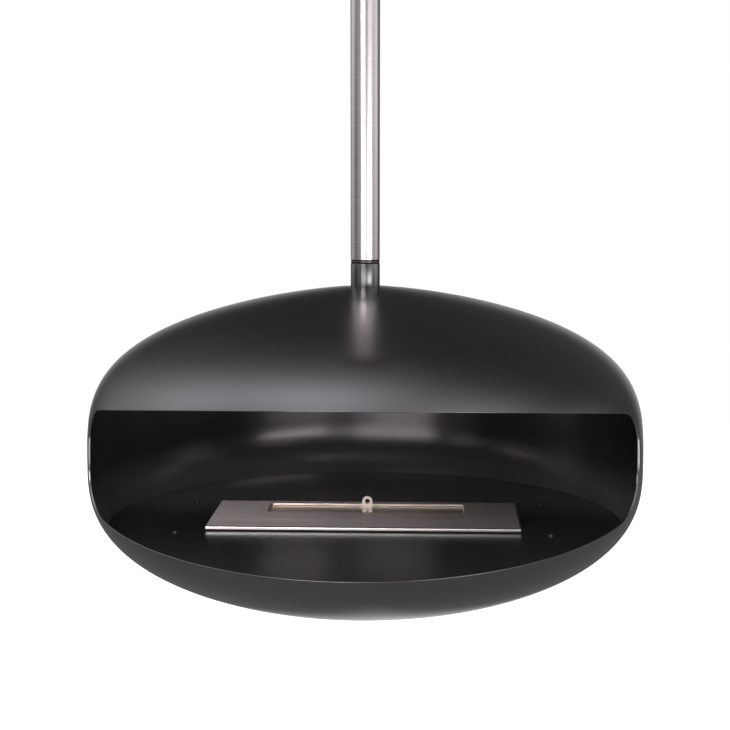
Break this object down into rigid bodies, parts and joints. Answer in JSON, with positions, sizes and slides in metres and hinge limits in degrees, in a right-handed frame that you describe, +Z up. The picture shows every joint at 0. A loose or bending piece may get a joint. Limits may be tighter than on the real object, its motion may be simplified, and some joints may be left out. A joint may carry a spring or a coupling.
{
  "type": "hanging fireplace",
  "caption": "Pebble-shaped black steel hearth on a ceiling pole, with a wide front mouth and a stainless drop-in burner; it turns about the pole.",
  "frame": {"origin": "centre of the ceiling plate's top face, where it meets the ceiling", "axes": "+Z up, +X to the right of a viewer who faces the mouth, and the mouth opens towards -Y"},
  "size_m": [0.76, 0.7391, 1.0816],
  "materials": {
    "black_coat": "satin heat-proof black",
    "stainless_pole": "fine brushed along the pole",
    "stainless_plate": "brushed from side to side",
    "stainless_sheet": "mill finish",
    "warm_tab": "heat-tinted",
    "zinc_steel": "zinc plated",
    "bearing_steel": "ground",
    "bronze": "sintered bronze",
    "gasket_fibre": "dark woven glass fibre",
    "pad_fibre": "white ceramic wool"
  },
  "bodies": {
    "ceiling_mount": {"ceiling_plate": "zinc_steel", "pole_bolts": "zinc_steel", "pole_bolt_nuts": "zinc_steel", "pole": "stainless_pole", "pole_plug": "zinc_steel", "collar_ring": "black_coat", "spindle": "zinc_steel", "lower_race": "bearing_steel", "spindle_washer": "zinc_steel", "spindle_nut": "zinc_steel", "lock_pin": "bearing_steel"},
    "canopy_cover": {"canopy": "black_coat", "canopy_ring": "black_coat", "canopy_ring_screw": "zinc_steel"},
    "ball_cage": {"ball_ring": "bearing_steel"},
    "hearth": {"collar": "black_coat", "guide_bush": "bronze", "collar_screws": "zinc_steel", "hanger_plate": "zinc_steel", "upper_race": "bearing_steel", "heat_shield": "stainless_sheet", "shield_spacers": "zinc_steel", "shield_screws": "stainless_sheet", "dome": "black_coat", "bowl": "black_coat", "floor_panel": "black_coat", "floor_posts": "zinc_steel", "floor_screws": "zinc_steel", "floor_gasket": "gasket_fibre", "safety_tray": "zinc_steel", "tray_studs": "zinc_steel", "tray_nuts": "zinc_steel"},
    "burner": {"burner_tray": "stainless_sheet", "absorbent_pad": "pad_fibre", "pad_grille": "stainless_sheet", "burner_plate": "stainless_plate", "shutter_rails": "stainless_sheet"},
    "shutter": {"shutter_plate": "stainless_sheet", "pull_tab": "warm_tab"}
  },
  "joints": [
    {"name": "body_swivel", "type": "hinge", "parent": "ceiling_mount", "child": "hearth", "pos_m": [0, 0, -0.66], "axis": [0, 0, 1], "continuous": true},
    {"name": "cage_spin", "type": "hinge", "parent": "ceiling_mount", "child": "ball_cage", "pos_m": [0, 0, -0.66], "axis": [0, 0, 1], "continuous": true},
    {"name": "canopy_slide", "type": "slide", "parent": "ceiling_mount", "child": "canopy_cover", "axis": [0, 0, -1], "range_m": [0, 0.15]},
    {"name": "burner_lift", "type": "slide", "parent": "hearth", "child": "burner", "axis": [0, 0, 1], "range_m": [0, 0.065]},
    {"name": "shutter_slide", "type": "slide", "parent": "burner", "child": "shutter", "axis": [0, -1, 0], "range_m": [0, 0.055]}
  ],
  "couplings": [
    {"joint": "cage_spin", "follows": "body_swivel", "ratio": 0.5}
  ]
}
